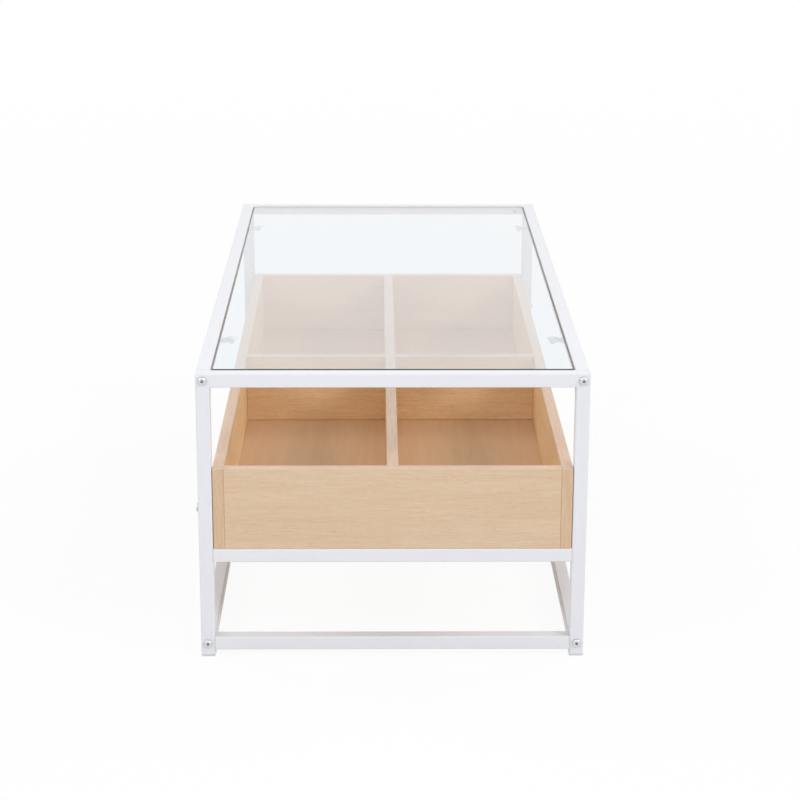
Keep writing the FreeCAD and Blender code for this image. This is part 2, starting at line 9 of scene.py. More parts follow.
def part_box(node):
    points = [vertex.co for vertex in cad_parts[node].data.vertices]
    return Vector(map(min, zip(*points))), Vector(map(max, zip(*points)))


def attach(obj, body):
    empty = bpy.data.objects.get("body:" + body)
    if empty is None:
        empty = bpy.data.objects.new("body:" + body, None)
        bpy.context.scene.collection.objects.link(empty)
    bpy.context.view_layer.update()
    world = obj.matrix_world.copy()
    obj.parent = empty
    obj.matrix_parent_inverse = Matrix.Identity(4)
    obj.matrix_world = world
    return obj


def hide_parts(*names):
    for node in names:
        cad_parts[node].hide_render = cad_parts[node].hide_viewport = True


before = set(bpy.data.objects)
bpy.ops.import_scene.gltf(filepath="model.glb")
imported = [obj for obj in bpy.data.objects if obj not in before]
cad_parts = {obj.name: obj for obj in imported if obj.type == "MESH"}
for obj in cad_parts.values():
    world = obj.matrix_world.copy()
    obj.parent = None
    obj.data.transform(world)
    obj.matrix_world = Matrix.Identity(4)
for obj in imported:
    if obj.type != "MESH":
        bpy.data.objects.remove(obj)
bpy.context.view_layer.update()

bl_info = {
    "name": "Coffee Table",
    "version": (1, 0, 0),
    "blender": (4, 5, 0),
    "location": "View3D > Sidebar > Coffee Table",
    "description": "Finishes and small pieces of a tube-framed coffee table with a box and a glass top",
    "category": "Object",
}

MM = 0.001
X_AXIS = 0
Y_AXIS = 1
Z_AXIS = 2
WHITE = (1.0, 1.0, 1.0, 1.0)
FLOAT_GLASS_IOR = 1.52

SIDES = ("left", "right")
ENDS = ("front", "rear")
CORNERS = [f"{end}_{side}" for end in ENDS for side in SIDES]
CROSS_RAILS = [f"{end}_{level}_rail" for end in ENDS for level in ("top", "shelf", "bottom")]
LONG_RAILS = [f"{side}_{level}_rail" for side in SIDES for level in ("top", "bottom")]
LEGS = [f"{corner}_leg" for corner in CORNERS]
GLIDES = [f"{corner}_glide" for corner in CORNERS]
TABS = [f"{corner}_glass_tab" for corner in CORNERS]
CUPS = [f"{corner}_suction_cup" for corner in CORNERS]
FASTENERS = ["front_frame_bolts", "rear_frame_bolts", "long_rail_nuts", "box_bolts", "box_inserts"]
DOWELS = ["box_corner_dowels", "box_divider_dowels"]

# The storage box's boards, by the axis that their grain runs along.
BOARDS = {
    "lengthwise": (Y_AXIS, ["box_left_side", "box_right_side", "box_long_divider"]),
    "crosswise": (X_AXIS, ["box_front_end", "box_rear_end", "box_cross_divider"]),
}


def linear(hex_colour):
    """Turns an sRGB hex colour into linear red, green, blue and alpha, by the standard's own curve."""
    channels = [int(hex_colour[start:start + 2], 16) / 255 for start in (1, 3, 5)]
    return tuple(c / 12.92 if c <= 0.04045 else ((c + 0.055) / 1.055) ** 2.4 for c in channels) + (1.0,)


def colour(name, description, hex_colour):
    """A colour that a user may change."""
    return bpy.props.FloatVectorProperty(
        name=name, description=description, subtype="COLOR", size=4, min=0.0, max=1.0,
        default=linear(hex_colour)
    )


def length(name, description, millimetres):
    """A length that a user may change, given in millimetres and held in metres."""
    return bpy.props.FloatProperty(
        name=name, description=description, unit="LENGTH", min=0.0, precision=5, default=millimetres * MM
    )


def angle(name, description, radians):
    """An angle that a user may change."""
    return bpy.props.FloatProperty(name=name, description=description, unit="ROTATION", default=radians)


def part(name, description, value, lowest=0.0):
    """A part of a whole that a user may change."""
    return bpy.props.FloatProperty(
        name=name, description=description, subtype="FACTOR", min=lowest, max=1.0, default=value
    )


def brightness(name, description, value, unit="NONE"):
    """The strength of a light that a user may change."""
    return bpy.props.FloatProperty(name=name, description=description, unit=unit, min=0.0, default=value)


class TableColours(bpy.types.PropertyGroup):
    powder_white: colour("Powder coat", "White of the sprayed and baked tube frame", "#E6E7EC")
    maple_pale: colour("Maple, pale", "Early wood of the maple print on the boards", "#DCC3A7")
    maple_dark: colour("Maple, dark", "Late wood of the maple print on the boards", "#D3B696")
    maple_fleck: colour("Maple, flecks", "Short rays and pores in the maple print", "#C6A17B")
    # The inside tones are the same maple print, painted warmer for the light that bounces round inside the
    # box.
    inside_bounce_pale: colour("Inside, pale", "Early wood of the warmer print inside the box", "#EDCCA3")
    inside_bounce_dark: colour("Inside, dark", "Late wood of the warmer print inside the box", "#DEB585")
    # The rim tape is real edge tape, painted paler than the same tape on the ends for the light from above.
    rim_toplit_pale: colour("Rim tape, pale", "Paler, pinker tape on the rims of the boards", "#E2C6B0")
    rim_toplit_dark: colour("Rim tape, dark", "Streaks in the tape on the rims of the boards", "#D7B69E")
    end_pale: colour("End tape, pale", "Tape on the upright ends of the side boards", "#D8BC9E")
    end_dark: colour("End tape, dark", "Streaks in the tape on the upright ends", "#CDAD8A")
    panel_pale: colour("Panel, pale", "Early wood of the print on the thin bottom panel", "#DAB48E")
    panel_dark: colour("Panel, dark", "Late wood of the print on the thin bottom panel", "#D3AB84")
    glass_body: colour("Glass", "Faint cool tint of clear float glass", "#EBF1F5")
    # The edge's grey is painted dark for the shade in the gap round the glass and its dark look along the
    # sheet.
    glass_edge_shaded: colour("Glass edge", "Grey of the ground edge of the glass", "#575C5A")
    zinc: colour("Zinc plate", "Bright zinc on bolts, nuts and inserts", "#E2E4E6")
    glide_grey: colour("Foot glides", "Pale grey of the moulded foot glides", "#D3D4D6")
    vinyl: colour("Suction cups", "Soft clear vinyl of the cups below the glass", "#EFF3F3")
    beech: colour("Dowels", "Turned beech of the dowels in the box's joints", "#D8B58E")


class TableSizes(bpy.types.PropertyGroup):
    tab_arris: length("Tab arris", "Rounding on the edges of the glass tabs", 0.3)
    glide_arris: length("Glide arris", "Rounding on the edges of the foot glides", 0.4)
    glass_arris: length("Glass arris", "Ground chamfer on the edges of the glass", 0.8)
    glass_corner: length("Glass corner", "Radius of the corners of the glass", 2.0)
    cup_lip: length("Cup lip", "Thickness of a suction cup's rim", 0.6)
    cup_neck: length("Cup neck", "Radius of a suction cup where it passes its tab", 2.5)
    cup_knob: length("Cup knob", "Radius of a suction cup's knob below its tab", 4.0)


class TableStudio(bpy.types.PropertyGroup):
    floor_white: colour("Floor", "Paper floor below the table", "#EEEEEE")
    floor_glow: part("Floor glow", "Share of plain white that the eye sees on the floor near the table", 0.93)
    fill: brightness("Fill", "Light that comes evenly from all round", 0.5)
    overhead: brightness("Overhead", "Power of the long softbox over the table", 1.8, "POWER")
    front: brightness("Front", "Power of the softbox over the front end", 2.8, "POWER")
    key: brightness("Key lights", "Mean irradiance of the two key lights in front", 0.79)
    key_balance: part("Key balance", "How much more key light comes from the right than the left", 0.26, -1.0)
    rear_share: part("Rear share", "Strength of each light behind, as a share of the key lights' mean", 0.82)
    key_spread: angle("Key spread", "Angle that each key light fills", math.radians(19))
    key_height: angle("Key height", "Angle of the key lights above the floor", math.radians(33))
    key_turn: angle("Key turn", "Angle of the key lights to each side of the front", math.radians(58))
    eye: bpy.props.FloatVectorProperty(
        name="Camera place", description="Where the camera stands", subtype="TRANSLATION", unit="LENGTH",
        default=(-0.0248, -3.2743, 1.2634)
    )
    eye_pitch: angle("Camera pitch", "How far the camera looks down", 0.2722)
    eye_yaw: angle("Camera yaw", "How far the camera is turned to the right", 0.0125)
    eye_roll: angle("Camera roll", "How far the camera leans", 0.0033)
    eye_lens: bpy.props.FloatProperty(
        name="Lens", description="Focal length on a sensor 36 mm wide", unit="CAMERA", min=1.0, default=92.475
    )
    eye_shift: bpy.props.FloatProperty(
        name="Camera shift", description="Upright shift of the picture, in parts of its width", default=-0.1
    )


def chosen(name):
    """One of the table's colours, as the user has set it."""
    return tuple(getattr(bpy.context.scene.table_colours, name))


def dimmed(tone, share):
    """A colour with only a share of its light."""
    return tuple(share * channel for channel in tone[:3]) + (1.0,)


def add(tree, kind, inputs=None, **settings):
    """Adds a node, sets its properties, and fills its inputs with values or with other nodes' outputs.

    An input goes by its name, or by its number where the node gives several of them one name.
    """
    node = tree.nodes.new(kind)
    for name, value in settings.items():
        setattr(node, name, value)
    for name, value in (inputs or {}).items():
        if isinstance(value, bpy.types.NodeSocket):
            tree.links.new(value, node.inputs[name])
        else:
            node.inputs[name].default_value = value
    return node


def new_material(name):
    """A new material with its node tree and its shader."""
    material = bpy.data.materials.new(name)
    material.use_nodes = True
    return material, material.node_tree, material.node_tree.nodes["Principled BSDF"]


def join(tree, output, shader, name):
    """Links an output to an input of the shader."""
    tree.links.new(output, shader.inputs[name])


def powder_coat():
    # Polyester powder, sprayed on steel and baked: an even satin white that breaks highlights up a little.
    # The real orange peel is about 1 mm across, which is too fine to show, so it is drawn at 3 mm. The coat
    # also varies in clouds of 90 mm, and is up to 3% darker where it is thinnest.
    peel_width = 3 * MM
    peel_depth = 0.05 * MM
    cloud_width = 90 * MM
    thinnest = 0.97
    material, tree, shader = new_material("powder_coat_baked_white")
    place = add(tree, "ShaderNodeTexCoord").outputs["Object"]
    peel = add(tree, "ShaderNodeTexNoise", {"Vector": place, "Scale": 1 / peel_width, "Detail": 2.0})
    clouds = add(tree, "ShaderNodeTexNoise", {"Vector": place, "Scale": 1 / cloud_width, "Detail": 3.0})
    shade = add(tree, "ShaderNodeMapRange", {"Value": clouds.outputs["Fac"], "To Min": thinnest})
    white = add(
        tree, "ShaderNodeMix", {"Factor": 1.0, "A": chosen("powder_white"), "B": shade.outputs["Result"]},
        data_type="RGBA", blend_type="MULTIPLY"
    )
    satin = add(tree, "ShaderNodeMapRange", {"Value": peel.outputs["Fac"], "To Min": 0.4, "To Max": 0.5})
    bump = add(
        tree, "ShaderNodeBump", {"Strength": 0.25, "Distance": peel_depth, "Height": peel.outputs["Fac"]}
    )
    join(tree, white.outputs["Result"], shader, "Base Color")
    join(tree, satin.outputs["Result"], shader, "Roughness")
    join(tree, bump.outputs["Normal"], shader, "Normal")
    return material


def stretched(grain, width, run):
    """Pattern scale for streaks of one width and length that run along an axis."""
    scale = [1 / width] * 3
    scale[grain] = 1 / run
    return scale


def board_places(tree, coordinates, grain):
    """Where a board's surface is inside the box, on one of its upright ends, or on its rim."""
    slack = 0.1 * MM
    squarely = 0.7
    spot = add(tree, "ShaderNodeSeparateXYZ", {"Vector": coordinates.outputs["Object"]})
    facing = add(tree, "ShaderNodeSeparateXYZ", {"Vector": coordinates.outputs["Normal"]})
    inner_x = abs(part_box("box_left_side")[1][X_AXIS]) + slack
    inner_y = abs(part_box("box_front_end")[1][Y_AXIS]) + slack

    def within(value, limit):
        """One where a value is nearer to nothing than a limit."""
        size = add(tree, "ShaderNodeMath", {0: value}, operation="ABSOLUTE").outputs["Value"]
        return add(tree, "ShaderNodeMath", {0: size, 1: limit}, operation="LESS_THAN").outputs["Value"]

    sides = within(spot.outputs[X_AXIS], inner_x)
    ends = within(spot.outputs[Y_AXIS], inner_y)
    flank = within(facing.outputs[grain], squarely)
    inside = add(tree, "ShaderNodeMath", {0: sides, 1: ends}, operation="MULTIPLY")
    end = add(tree, "ShaderNodeMath", {0: 1.0, 1: flank}, operation="SUBTRACT")
    rim = add(tree, "ShaderNodeMath", {0: facing.outputs[Z_AXIS], 1: squarely}, operation="GREATER_THAN")
    return {"inside": inside.outputs["Value"], "end": end.outputs["Value"], "rim": rim.outputs["Value"]}


def maple_print(name, grain, tones, fibre_share, seam_reach, seam_shade):
    # Printed maple paper under clear melamine, pressed flat on chipboard, with matching tape ironed on the
    # edges, or a foil with the same print on hardboard. The eye sees a quiet satin wood with no open pores:
    # soft wavy streaks along the grain, and upright on the boards' ends, slow bands of late wood and a few
    # short darker flecks. Painted shade draws thin dark lines in the closed seams, fainter inside the box.
    # Maple fibres are a tenth of a millimetre wide, so the streaks stand for bundles of them, 1.9 mm wide.
    bundle_width = 1.9 * MM
    bundle_run = 45 * MM
    fleck_run = 9 * MM
    band_width = 14 * MM
    band_run = 300 * MM
    sway_run = 260 * MM
    sway_width = 14 * MM
    fibre_depth = 0.04 * MM
    fleck_share = 0.4
    fleck_strength = 0.3
    inside_seam_shade = 0.94
    # The noise lies mostly between these two values, which are drawn out to the whole way from pale to dark.
    palest = 0.365
    darkest = 0.635
    # Flecks show where their noise is high, and the painted seam shade where the sky over them is mostly
    # closed.
    fleck_start = 0.64
    fleck_full = 0.8
    seam_closed = 0.45
    seam_open = 0.8
    material, tree, shader = new_material(name)
    coordinates = add(tree, "ShaderNodeTexCoord")
    place = coordinates.outputs["Object"]
    places = board_places(tree, coordinates, grain) if len(tones) > 1 else {}
    sway = add(tree, "ShaderNodeTexNoise", {"Vector": place, "Scale": 1 / sway_run, "Detail": 1.0})
    wavy = add(
        tree, "ShaderNodeVectorMath", {0: sway.outputs["Color"], 1: [sway_width] * 3, 2: place},
        operation="MULTIPLY_ADD"
    ).outputs["Vector"]

    def streaks(width, run, detail):
        """Noise drawn out along the grain, and upright on the ends."""
        along = {"Vector": wavy, "Scale": stretched(grain, width, run)}
        vector = add(tree, "ShaderNodeMapping", along).outputs["Vector"]
        if places:
            upwards = {"Vector": wavy, "Scale": stretched(Z_AXIS, width, run)}
            upright = add(tree, "ShaderNodeMapping", upwards).outputs["Vector"]
            either = {"Factor": places["end"], "A": vector, "B": upright}
            vector = add(tree, "ShaderNodeMix", either, data_type="VECTOR").outputs["Result"]
        noise = add(tree, "ShaderNodeTexNoise", {"Vector": vector, "Scale": 1.0, "Detail": detail})
        return noise.outputs["Fac"]

    fibres = streaks(bundle_width, bundle_run, 2.0)
    bands = streaks(band_width, band_run, 2.0)
    flecks = streaks(bundle_width, fleck_run, 1.0)
    strands = add(tree, "ShaderNodeMix", {"Factor": fleck_share, "A": fibres, "B": flecks})
    figure = add(tree, "ShaderNodeMix", {"Factor": fibre_share, "A": bands, "B": strands.outputs["Result"]})
    depth = add(
        tree, "ShaderNodeMapRange",
        {"Value": figure.outputs["Result"], "From Min": palest, "From Max": darkest}
    ).outputs["Result"]
    wood = None
    for where, pale, dark in tones:
        tone = add(tree, "ShaderNodeMix", {"Factor": depth, "A": pale, "B": dark}, data_type="RGBA")
        if where:
            both = {"Factor": places[where], "A": wood, "B": tone.outputs["Result"]}
            tone = add(tree, "ShaderNodeMix", both, data_type="RGBA")
        wood = tone.outputs["Result"]
    fleck = add(
        tree, "ShaderNodeMapRange",
        {"Value": flecks, "From Min": fleck_start, "From Max": fleck_full, "To Max": fleck_strength}
    )
    flecked = add(
        tree, "ShaderNodeMix", {"Factor": fleck.outputs["Result"], "A": wood, "B": chosen("maple_fleck")},
        data_type="RGBA"
    )
    # Painted shade: the colour is darkened where ambient occlusion finds the seam closed in.
    open_sky = add(tree, "ShaderNodeAmbientOcclusion", {"Distance": seam_reach}, samples=8)
    line = seam_shade
    if places:
        fainter = {"Value": places["inside"], "To Min": seam_shade, "To Max": inside_seam_shade}
        line = add(tree, "ShaderNodeMapRange", fainter).outputs["Result"]
    painted_seam_shade = add(
        tree, "ShaderNodeMapRange",
        {"Value": open_sky.outputs["AO"], "From Min": seam_closed, "From Max": seam_open, "To Min": line}
    )
    shaded = add(
        tree, "ShaderNodeMix", {"Factor": 1.0, "A": flecked.outputs["Result"], "B": painted_seam_shade.outputs["Result"]},
        data_type="RGBA", blend_type="MULTIPLY"
    )
    sheen = add(tree, "ShaderNodeMapRange", {"Value": fibres, "To Min": 0.42, "To Max": 0.54})
    bump = add(tree, "ShaderNodeBump", {"Strength": 0.2, "Distance": fibre_depth, "Height": fibres})
    shader.inputs["Specular IOR Level"].default_value = 0.4
    join(tree, shaded.outputs["Result"], shader, "Base Color")
    join(tree, sheen.outputs["Result"], shader, "Roughness")
    join(tree, bump.outputs["Normal"], shader, "Normal")
    return material


def clear_to_lamps(tree, shader, tint):
    """Lets lamp light and bounced light straight through a glassy shader, with half the tint at each face."""
    face_tint = tuple(channel ** 0.5 for channel in tint[:3]) + (1.0,)
    rays = add(tree, "ShaderNodeLightPath")
    passing = add(
        tree, "ShaderNodeMath", {0: rays.outputs["Is Shadow Ray"], 1: rays.outputs["Is Diffuse Ray"]},
        operation="MAXIMUM"
    )
    through = add(tree, "ShaderNodeBsdfTransparent", {"Color": face_tint})
    both = add(
        tree, "ShaderNodeMixShader",
        {"Fac": passing.outputs["Value"], 1: shader.outputs["BSDF"], 2: through.outputs["BSDF"]}
    )
    tree.links.new(both.outputs["Shader"], tree.nodes["Material Output"].inputs["Surface"])


def float_glass():
    # Clear float glass, drawn out on molten tin: flat polished faces that mirror more the flatter they are
    # seen. Its slow waves are some 120 mm long and far less than a hundredth of a millimetre high.
    wave_length = 120 * MM
    wave_height = 0.01 * MM
    material, tree, shader = new_material("float_glass_polished")
    tint = chosen("glass_body")
    place = add(tree, "ShaderNodeTexCoord").outputs["Object"]
    waves = add(tree, "ShaderNodeTexNoise", {"Vector": place, "Scale": 1 / wave_length, "Detail": 0.0})
    bump = add(
        tree, "ShaderNodeBump", {"Strength": 0.2, "Distance": wave_height, "Height": waves.outputs["Fac"]}
    )
    shader.inputs["Base Color"].default_value = tint
    shader.inputs["Roughness"].default_value = 0.0
    shader.inputs["IOR"].default_value = FLOAT_GLASS_IOR
    shader.inputs["Transmission Weight"].default_value = 1.0
    shader.inputs["Coat Weight"].default_value = 1.0
    shader.inputs["Coat Roughness"].default_value = 0.0
    join(tree, bump.outputs["Normal"], shader, "Normal")
    clear_to_lamps(tree, shader, tint)
    return material


def ground_glass():
    # The glass's edge, ground on a belt: a matt grey green, painted dark for the shade in the narrow gap
    # round the sheet and for the dark look along its width.
    # The belt leaves an even frost, much finer than a millimetre, which is drawn at 1.5 mm so that it shows.
    frost_width = 1.5 * MM
    material, tree, shader = new_material("float_glass_ground_edge")
    edge = chosen("glass_edge_shaded")
    place = add(tree, "ShaderNodeTexCoord").outputs["Object"]
    frost = add(tree, "ShaderNodeTexNoise", {"Vector": place, "Scale": 1 / frost_width, "Detail": 2.0})
    grain = frost.outputs["Fac"]
    tone = add(tree, "ShaderNodeMix", {"Factor": grain, "A": dimmed(edge, 0.75), "B": edge}, data_type="RGBA")
    matt = add(tree, "ShaderNodeMapRange", {"Value": grain, "To Min": 0.45, "To Max": 0.6})
    shader.inputs["IOR"].default_value = FLOAT_GLASS_IOR
    join(tree, tone.outputs["Result"], shader, "Base Color")
    join(tree, matt.outputs["Result"], shader, "Roughness")
    return material


def zinc_plate():
    # Steel, turned or headed and zinc plated: bright grey metal with a soft gloss, faintly clouded every
    # 2 mm. The sockets get painted shade: the colour is darkened where they are closed in.
    cloud_width = 2 * MM
    socket_reach = 3 * MM
    socket_shade = 0.25
    socket_closed = 0.45
    socket_open = 0.9
    material, tree, shader = new_material("zinc_plated_steel")
    zinc = chosen("zinc")
    place = add(tree, "ShaderNodeTexCoord").outputs["Object"]
    noise = add(tree, "ShaderNodeTexNoise", {"Vector": place, "Scale": 1 / cloud_width, "Detail": 3.0})
    clouds = noise.outputs["Fac"]
    tone = add(tree, "ShaderNodeMix", {"Factor": clouds, "A": dimmed(zinc, 0.8), "B": zinc}, data_type="RGBA")
    gloss = add(tree, "ShaderNodeMapRange", {"Value": clouds, "To Min": 0.28, "To Max": 0.42})
    # Painted shade in the sockets: ambient occlusion darkens the colour where they are closed in.
    open_sky = add(tree, "ShaderNodeAmbientOcclusion", {"Distance": socket_reach}, samples=8)
    depth = add(
        tree, "ShaderNodeMapRange",
        {"Value": open_sky.outputs["AO"], "From Min": socket_closed, "From Max": socket_open,
         "To Min": socket_shade}
    )
    plate = add(
        tree, "ShaderNodeMix", {"Factor": 1.0, "A": tone.outputs["Result"], "B": depth.outputs["Result"]},
        data_type="RGBA", blend_type="MULTIPLY"
    )
    shader.inputs["Metallic"].default_value = 1.0
    join(tree, plate.outputs["Result"], shader, "Base Color")
    join(tree, gloss.outputs["Result"], shader, "Roughness")
    return material


def moulded_glide():
    # Polyethylene, injection moulded: pale grey, slightly waxy, with the fine texture of a spark-eroded
    # mould. The texture is drawn at 0.8 mm, coarser than the real one.
    spark_width = 0.8 * MM
    spark_depth = 0.05 * MM
    material, tree, shader = new_material("polyethylene_moulded_grey")
    grey = chosen("glide_grey")
    place = add(tree, "ShaderNodeTexCoord").outputs["Object"]
    noise = add(tree, "ShaderNodeTexNoise", {"Vector": place, "Scale": 1 / spark_width, "Detail": 2.0})
    spark = noise.outputs["Fac"]
    tone = add(tree, "ShaderNodeMix", {"Factor": spark, "A": dimmed(grey, 0.92), "B": grey}, data_type="RGBA")
    bump = add(tree, "ShaderNodeBump", {"Strength": 0.3, "Distance": spark_depth, "Height": spark})
    shader.inputs["Roughness"].default_value = 0.5
    shader.inputs["IOR"].default_value = 1.51
    join(tree, tone.outputs["Result"], shader, "Base Color")
    join(tree, bump.outputs["Normal"], shader, "Normal")
    return material


def clear_vinyl():
    # Plasticised vinyl, injection moulded: a soft, clear rubber with a wet gloss, slightly cloudy every 4 mm.
    cloud_width = 4 * MM
    material, tree, shader = new_material("vinyl_moulded_clear")
    tint = chosen("vinyl")
    place = add(tree, "ShaderNodeTexCoord").outputs["Object"]
    cloud = add(tree, "ShaderNodeTexNoise", {"Vector": place, "Scale": 1 / cloud_width, "Detail": 2.0})
    haze = add(tree, "ShaderNodeMapRange", {"Value": cloud.outputs["Fac"], "To Min": 0.08, "To Max": 0.22})
    shader.inputs["Base Color"].default_value = tint
    shader.inputs["IOR"].default_value = 1.53
    shader.inputs["Transmission Weight"].default_value = 0.85
    join(tree, haze.outputs["Result"], shader, "Roughness")
    clear_to_lamps(tree, shader, tint)
    return material


def turned_beech():
    # Beech, turned: pale pinkish wood with darker pores. The pores lie along the table, and are drawn 1 mm
    # wide and 12 mm long, coarser than the real ones, so that they show.
    pore_width = 1 * MM
    pore_run = 12 * MM
    material, tree, shader = new_material("beech_turned")
    beech = chosen("beech")
    place = add(tree, "ShaderNodeTexCoord").outputs["Object"]
    spread = add(
        tree, "ShaderNodeMapping", {"Vector": place, "Scale": stretched(Y_AXIS, pore_width, pore_run)}
    )
    noise = add(tree, "ShaderNodeTexNoise", {"Vector": spread.outputs["Vector"], "Scale": 1.0, "Detail": 2.0})
    tones = {"Factor": noise.outputs["Fac"], "A": dimmed(beech, 0.7), "B": beech}
    tone = add(tree, "ShaderNodeMix", tones, data_type="RGBA")
    shader.inputs["Roughness"].default_value = 0.6
    join(tree, tone.outputs["Result"], shader, "Base Color")
    return material


def dress(names, material):
    """Gives CAD nodes a material."""
    for name in names:
        for material_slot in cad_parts[name].material_slots:
            material_slot.material = material


def ease_edges(names, width):
    """Rounds the sharp edges of CAD nodes, whose faces come in unjoined."""
    same_point = 0.01 * MM
    sharp = math.radians(40)
    for name in names:
        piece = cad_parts[name]
        weld = piece.modifiers.new("joined_faces", "WELD")
        weld.merge_threshold = same_point
        bevel = piece.modifiers.new("eased_edges", "BEVEL")
        bevel.width = width
        bevel.segments = 2
        bevel.limit_method = "ANGLE"
        bevel.angle_limit = sharp


def new_piece(name, mesh, body, node, materials):
    """A finished piece that stands for a CAD node and moves with a body."""
    data = bpy.data.meshes.new(name)
    mesh.to_mesh(data)
    mesh.free()
    for material in materials:
        data.materials.append(material)
    piece = bpy.data.objects.new(name, data)
    bpy.context.scene.collection.objects.link(piece)
    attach(piece, body)
    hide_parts(node)


def rounded_outline(low, high, radius, inset, height):
    """Points round a rectangle with rounded corners, drawn in from its edge."""
    steps = 4
    reach = radius - inset
    right, back = high[X_AXIS], high[Y_AXIS]
    left, near = low[X_AXIS], low[Y_AXIS]
    points = []
    for turn, (x, y) in enumerate(((right, back), (left, back), (left, near), (right, near))):
        out = Vector((1 if x == right else -1, 1 if y == back else -1))
        middle = Vector((x, y)) - out * radius
        for step in range(steps + 1):
            bearing = math.radians(90 * turn + 90 * step / steps)
            across = middle.x + reach * math.cos(bearing)
            along = middle.y + reach * math.sin(bearing)
            points.append((across, along, height))
    return points


def cup_profile(foot, tab_under, tab_over, top, rim, sizes):
    """Half of a suction cup's section, from its axis below the tab to its axis below the glass.

    Each point is a distance from the axis and a height. The cup goes from foot to top, its tab from
    tab_under to tab_over, and rim is the cup's radius below the glass.
    """
    lip = sizes.cup_lip
    neck = sizes.cup_neck
    knob = sizes.cup_knob
    rounded_knob = [
        (0.0, foot),
        (0.55 * knob, foot + 0.05 * MM),
        (0.88 * knob, foot + 0.6 * MM),
        (knob, foot + 1.6 * MM),
        (knob, tab_under - 0.7 * MM),
        (0.9 * knob, tab_under - 0.1 * MM),
    ]
    straight_neck = [
        (neck, tab_under),
        (neck, tab_over),
    ]
    flared_bell = [
        (1.6 * neck, tab_over + 0.15 * MM),
        (0.72 * rim, tab_over + 0.8 * MM),
        (0.94 * rim, top - 1.2 * lip),
        (rim, top - 0.5 * lip),
    ]
    hollow_face = [
        (0.98 * rim, top),
        (0.9 * rim, top - 0.15 * MM),
        (0.5 * rim, top - 0.6 * MM),
        (0.0, top - 0.8 * MM),
    ]
    return rounded_knob + straight_neck + flared_bell + hollow_face


class COFFEE_TABLE_OT_steel_frame(bpy.types.Operator):
    """Powder coats the legs, the rails and the tabs that hold the glass up"""

    bl_idname = "coffee_table.steel_frame"
    bl_label = "Steel Frame"

    def execute(self, context):
        dress(LEGS + CROSS_RAILS + LONG_RAILS + TABS, powder_coat())
        ease_edges(TABS, context.scene.table_sizes.tab_arris)
        return {"FINISHED"}


class COFFEE_TABLE_OT_storage_box(bpy.types.Operator):
    """Faces the storage box's boards and its bottom panel with maple print and tapes their edges"""

    bl_idname = "coffee_table.storage_box"
    bl_label = "Storage Box"

    def execute(self, context):
        tones = [
            (None, chosen("maple_pale"), chosen("maple_dark")),
            # Painted bounce light: the inside faces take a warmer copy of the print.
            ("inside", chosen("inside_bounce_pale"), chosen("inside_bounce_dark")),
            ("end", chosen("end_pale"), chosen("end_dark")),
            # Painted light: the upward rims take a paler copy of the tape.
            ("rim", chosen("rim_toplit_pale"), chosen("rim_toplit_dark")),
        ]
        for way, (grain, names) in BOARDS.items():
            melamine = maple_print(
                f"maple_melamine_pressed_{way}", grain, tones,
                fibre_share=0.7, seam_reach=1.5 * MM, seam_shade=0.5
            )
            dress(names, melamine)
        panel_tones = [(None, chosen("panel_pale"), chosen("panel_dark"))]
        foil = maple_print(
            "maple_foil_on_hardboard", Y_AXIS, panel_tones,
            fibre_share=0.45, seam_reach=4 * MM, seam_shade=0.88
        )
        dress(["box_bottom_panel"], foil)
        return {"FINISHED"}


class COFFEE_TABLE_OT_glass_top(bpy.types.Operator):
    """Makes the loose glass sheet with its rounded corners and ground edge"""

    bl_idname = "coffee_table.glass_top"
    bl_label = "Glass Top"

    def execute(self, context):
        sizes = context.scene.table_sizes
        ground = ground_glass()
        materials = [float_glass(), ground]
        arris = sizes.glass_arris
        low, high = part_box("glass_top")
        under, over = low[Z_AXIS], high[Z_AXIS]
        levels = ((arris, under), (0.0, under + arris), (0.0, over - arris), (arris, over))
        mesh = bmesh.new()
        rings = []
        for inset, height in levels:
            outline = rounded_outline(low, high, sizes.glass_corner, inset, height)
            rings.append([mesh.verts.new(point) for point in outline])
        mesh.faces.new(reversed(rings[0]))
        mesh.faces.new(rings[-1])
        for lower, upper in zip(rings, rings[1:]):
            for here in range(len(lower)):
                there = (here + 1) % len(lower)
                edge = mesh.faces.new((lower[here], lower[there], upper[there], upper[here]))
                edge.material_index = materials.index(ground)
        new_piece("glass_sheet", mesh, "glass", "glass_top", materials)
        return {"FINISHED"}


class COFFEE_TABLE_OT_suction_cups(bpy.types.Operator):
    """Turns the four clear suction cups, with a knob below the tab and a thin bell below the glass"""

    bl_idname = "coffee_table.suction_cups"
    bl_label = "Suction Cups"

    def execute(self, context):
        facets = 32
        same_point = 0.001 * MM
        vinyl = clear_vinyl()
        for name in CUPS:
            low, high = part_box(name)
            tab_low, tab_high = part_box(name.replace("suction_cup", "glass_tab"))
            rim = (high[X_AXIS] - low[X_AXIS]) / 2
            axis = Vector(((low[X_AXIS] + high[X_AXIS]) / 2, (low[Y_AXIS] + high[Y_AXIS]) / 2, 0.0))
            profile = cup_profile(
                low[Z_AXIS], tab_low[Z_AXIS], tab_high[Z_AXIS], high[Z_AXIS], rim, context.scene.table_sizes
            )
            mesh = bmesh.new()
            points = [mesh.verts.new(axis + Vector((radius, 0.0, height))) for radius, height in profile]
            outline = [mesh.edges.new(pair) for pair in zip(points, points[1:])]
            bmesh.ops.spin(
                mesh, geom=points + outline, cent=axis, axis=(0.0, 0.0, 1.0), angle=math.tau, steps=facets
            )
            bmesh.ops.remove_doubles(mesh, verts=mesh.verts[:], dist=same_point)
            bmesh.ops.recalc_face_normals(mesh, faces=mesh.faces[:])
            for face in mesh.faces:
                face.smooth = True
            new_piece(f"{name}_clear", mesh, "frame", name, [vinyl])
        return {"FINISHED"}


